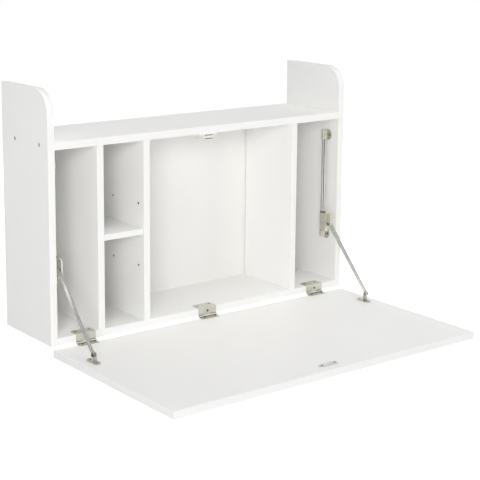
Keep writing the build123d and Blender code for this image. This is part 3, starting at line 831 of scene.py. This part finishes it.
def cut_sheet(mesh, outline, hole_places, to_space):
    """A flat sheet with countersunk holes.

    to_space takes a place in the sheet and a height above its inner face to the frame.
    """
    layers = []
    for height, radius in ((0.0, HOLE_THROAT), (STEEL, HOLE_MOUTH)):
        loops, faces = flat_faces(outline, [(place, radius) for place in hole_places])
        corners = [[mesh.verts.new(to_space(u, v, height)) for u, v in loop] for loop in loops]
        flat = [corner for loop in corners for corner in loop]
        for face in faces:
            mesh.faces.new([flat[i] for i in face])
        layers.append(corners)
    for below, above in zip(*layers):
        join_loops(mesh, below, above)


def drawn_bar(mesh, profile, x_low, x_high):
    """A profile in the YZ plane, drawn out along X."""
    ends = [[mesh.verts.new((x * MM, y * MM, z * MM)) for y, z in profile] for x in (x_low, x_high)]
    join_loops(mesh, *ends)
    for end in ends:
        mesh.faces.new(end)


def rolled_knuckle(mesh, start, sweep, x_low, x_high):
    """The sheet's end rolled round the pin, with the slit that a rolled end leaves."""
    axis = (AXIS_Y, AXIS_Z)
    outer = arc(axis, ROLL_OUTER, start, start + sweep, ROLL_STEPS)
    inner = arc(axis, ROLL_INNER, start, start + sweep, ROLL_STEPS)
    drawn_bar(mesh, outer + inner[::-1], x_low, x_high)


def carcass_leaf(x):
    """Flat on the bottom panel, bent down its front edge, with two rolled knuckles."""
    mesh = bmesh.new()
    left, right, rear = x - LEAF_HALF, x + LEAF_HALF, FRONT_Y + TOP_LEAF
    rounded = arc((right - CORNER, rear - CORNER), CORNER, 0, 90, CORNER_STEPS)
    rounded += arc((left + CORNER, rear - CORNER), CORNER, 90, 180, CORNER_STEPS)
    top = [(left, FRONT_Y), (right, FRONT_Y)] + rounded
    screws = [(x + way * TOP_SCREW_X, FRONT_Y + TOP_SCREW_Y) for way in (-1, 1)]
    cut_sheet(mesh, top, screws, lambda u, v, h: (u * MM, v * MM, (BOARD_TOP_Z + h) * MM))
    low, notch = AXIS_Z, AXIS_Z + KNUCKLE_CLEAR
    face = [
        (left, low), (x - FINGER_GAP, low), (x - FINGER_GAP, notch), (x + FINGER_GAP, notch),
        (x + FINGER_GAP, low), (right, low), (right, BOARD_TOP_Z), (left, BOARD_TOP_Z),
    ]
    face_screw = (x, BASE_Z + FACE_SCREW_Z)
    cut_sheet(mesh, face, [face_screw], lambda u, v, h: (u * MM, (FRONT_Y - h) * MM, v * MM))
    bend = [(FRONT_Y, BOARD_TOP_Z)] + arc((FRONT_Y, BOARD_TOP_Z), STEEL, 90, 180, BEND_STEPS)
    drawn_bar(mesh, bend, left, right)
    rolled_knuckle(mesh, 0, -ROLL_SWEEP, left, x - FINGER_GAP)
    rolled_knuckle(mesh, 0, -ROLL_SWEEP, x + FINGER_GAP, right)
    return mesh


def flap_leaf(x):
    """Flat on the flap, with one rolled knuckle in the middle."""
    mesh = bmesh.new()
    left, right = x - LEAF_HALF, x + LEAF_HALF
    tip, rear = AXIS_Y - LEAF_TIP, AXIS_Y - KNUCKLE_CLEAR
    rounded = arc((left + CORNER, tip + CORNER), CORNER, 180, 270, CORNER_STEPS)
    rounded += arc((right - CORNER, tip + CORNER), CORNER, 270, 360, CORNER_STEPS)
    tab = [
        (x + TAB_HALF, rear), (x + TAB_HALF, AXIS_Y), (x - TAB_HALF, AXIS_Y), (x - TAB_HALF, rear),
    ]
    outline = rounded + [(right, rear)] + tab + [(left, rear)]
    screws = [(x + way * FLAP_SCREW_X, AXIS_Y - FLAP_SCREW_Y) for way in (-1, 1)]
    cut_sheet(mesh, outline, screws, lambda u, v, h: (u * MM, v * MM, (FLAP_TOP_Z + h) * MM))
    rolled_knuckle(mesh, -90, ROLL_SWEEP, x - TAB_HALF, x + TAB_HALF)
    return mesh


def roll_hinge(name):
    """Puts both leaves of a hinge in the places of its plainer ones."""
    for kind, make in (("carcass_leaf", carcass_leaf), ("flap_leaf", flap_leaf)):
        node = f"{name}_hinge_{kind}"
        low, high = box_of(node)
        middle = (low[0] + high[0]) / 2
        smooth_with_crisp_edges(stand_in(make(middle), node + "_rolled", node))


for name in HINGES:
    roll_hinge(name)


# Floor, light and camera

def white_for_camera(tree):
    """1 for rays from the camera and rays seen in metal or glass, else 0."""
    path = add_node(tree, "ShaderNodeLightPath").outputs
    seen = combine(tree, "MAXIMUM", path["Is Camera Ray"], path["Is Glossy Ray"])
    return combine(tree, "MAXIMUM", seen, path["Is Transmission Ray"])


def flat_card(name, corners, material):
    """A flat card with four corners."""
    data = bpy.data.meshes.new(name)
    data.from_pydata(corners, [], [(0, 1, 2, 3)])
    data.materials.append(material)
    return put_in_scene(name, data)


def make_floor():
    """A plain pale floor below the hung desk."""
    material, tree, shader = matte_material("pale_floor", FLOOR_COLOUR)
    shader.inputs["Emission Color"].default_value = (*WHITE, 1)
    glow = spread(tree, white_for_camera(tree), low=0.0, high=FLOOR_GLOW, start=0.0, end=1.0)
    tree.links.new(glow, shader.inputs["Emission Strength"])
    ways = [(-1, -1), (1, -1), (1, 1), (-1, 1)]
    corners = [(x * FLOOR_HALF, y * FLOOR_HALF, FLOOR_LEVEL) for x, y in ways]
    floor = flat_card("floor", corners, material)


def make_world():
    """Soft even light all round, and a white background."""
    world = bpy.data.worlds.new("studio")
    world.use_nodes = True
    tree = world.node_tree
    background = tree.nodes["Background"]
    background.inputs["Color"].default_value = (*WHITE, 1)
    level = spread(tree, white_for_camera(tree), low=AMBIENT, high=1.0, start=0.0, end=1.0)
    tree.links.new(level, background.inputs["Strength"])
    bpy.context.scene.world = world


def direction(azimuth, elevation=0.0):
    """The way from the desk to a lamp or a card."""
    around, above = math.radians(azimuth), math.radians(elevation)
    reach = math.cos(above)
    return Vector((math.sin(around) * reach, -math.cos(around) * reach, math.sin(above)))


def make_lamp(name, azimuth, elevation, distance, size, level):
    """A soft box; its level is the light on a surface that faces it, where 1 shows a colour as written."""
    away = direction(azimuth, elevation)
    data = bpy.data.lights.new(name, "AREA")
    data.shape = "SQUARE"
    data.size = size
    data.energy = level * math.pi ** 2 * distance ** 2
    lamp = put_in_scene(name, data)
    lamp.location = away * distance
    lamp.rotation_mode = "QUATERNION"
    lamp.rotation_quaternion = (-away).to_track_quat("-Z", "Y")
    lamp.visible_camera = False
    lamp.visible_glossy = False


def make_flag(name, azimuth, distance, width, height, tone):
    """A grey upright card on the floor, seen only in polished metal."""
    up = Vector((0, 0, 1))
    away = direction(azimuth)
    across = up.cross(away) * width / 2
    foot = away * distance + up * FLOOR_LEVEL
    lift = up * height
    corners = [foot - across, foot + across, foot + across + lift, foot - across + lift]
    material, _, _ = matte_material(name, (tone, tone, tone))
    flag = flat_card(name, corners, material)
    flag.visible_camera = False
    flag.visible_diffuse = False
    flag.visible_shadow = False
    flag.visible_transmission = False


def make_camera():
    """The photograph's viewing angle."""
    yaw, pitch, roll = (math.radians(a) for a in (CAMERA_YAW, CAMERA_PITCH, CAMERA_ROLL))
    look = Vector((
        math.sin(yaw) * math.cos(pitch), math.cos(yaw) * math.cos(pitch), -math.sin(pitch),
    ))
    level = Vector((math.cos(yaw), -math.sin(yaw), 0))
    upright = level.cross(look)
    right = math.cos(roll) * level + math.sin(roll) * upright
    up = math.cos(roll) * upright - math.sin(roll) * level
    turn = Matrix((right, up, -look)).transposed().to_4x4()
    data = bpy.data.cameras.new("camera")
    data.lens = CAMERA_LENS
    data.sensor_width = CAMERA_SENSOR
    data.shift_y = CAMERA_SHIFT_Y
    camera = put_in_scene("camera", data)
    camera.matrix_world = Matrix.Translation(Vector(CAMERA_PLACE)) @ turn
    bpy.context.scene.camera = camera


make_floor()
make_world()
for lamp in LAMPS:
    make_lamp(**lamp)
for flag in FLAGS:
    make_flag(**flag)
make_camera()
bpy.context.scene.view_settings.view_transform = "Standard"
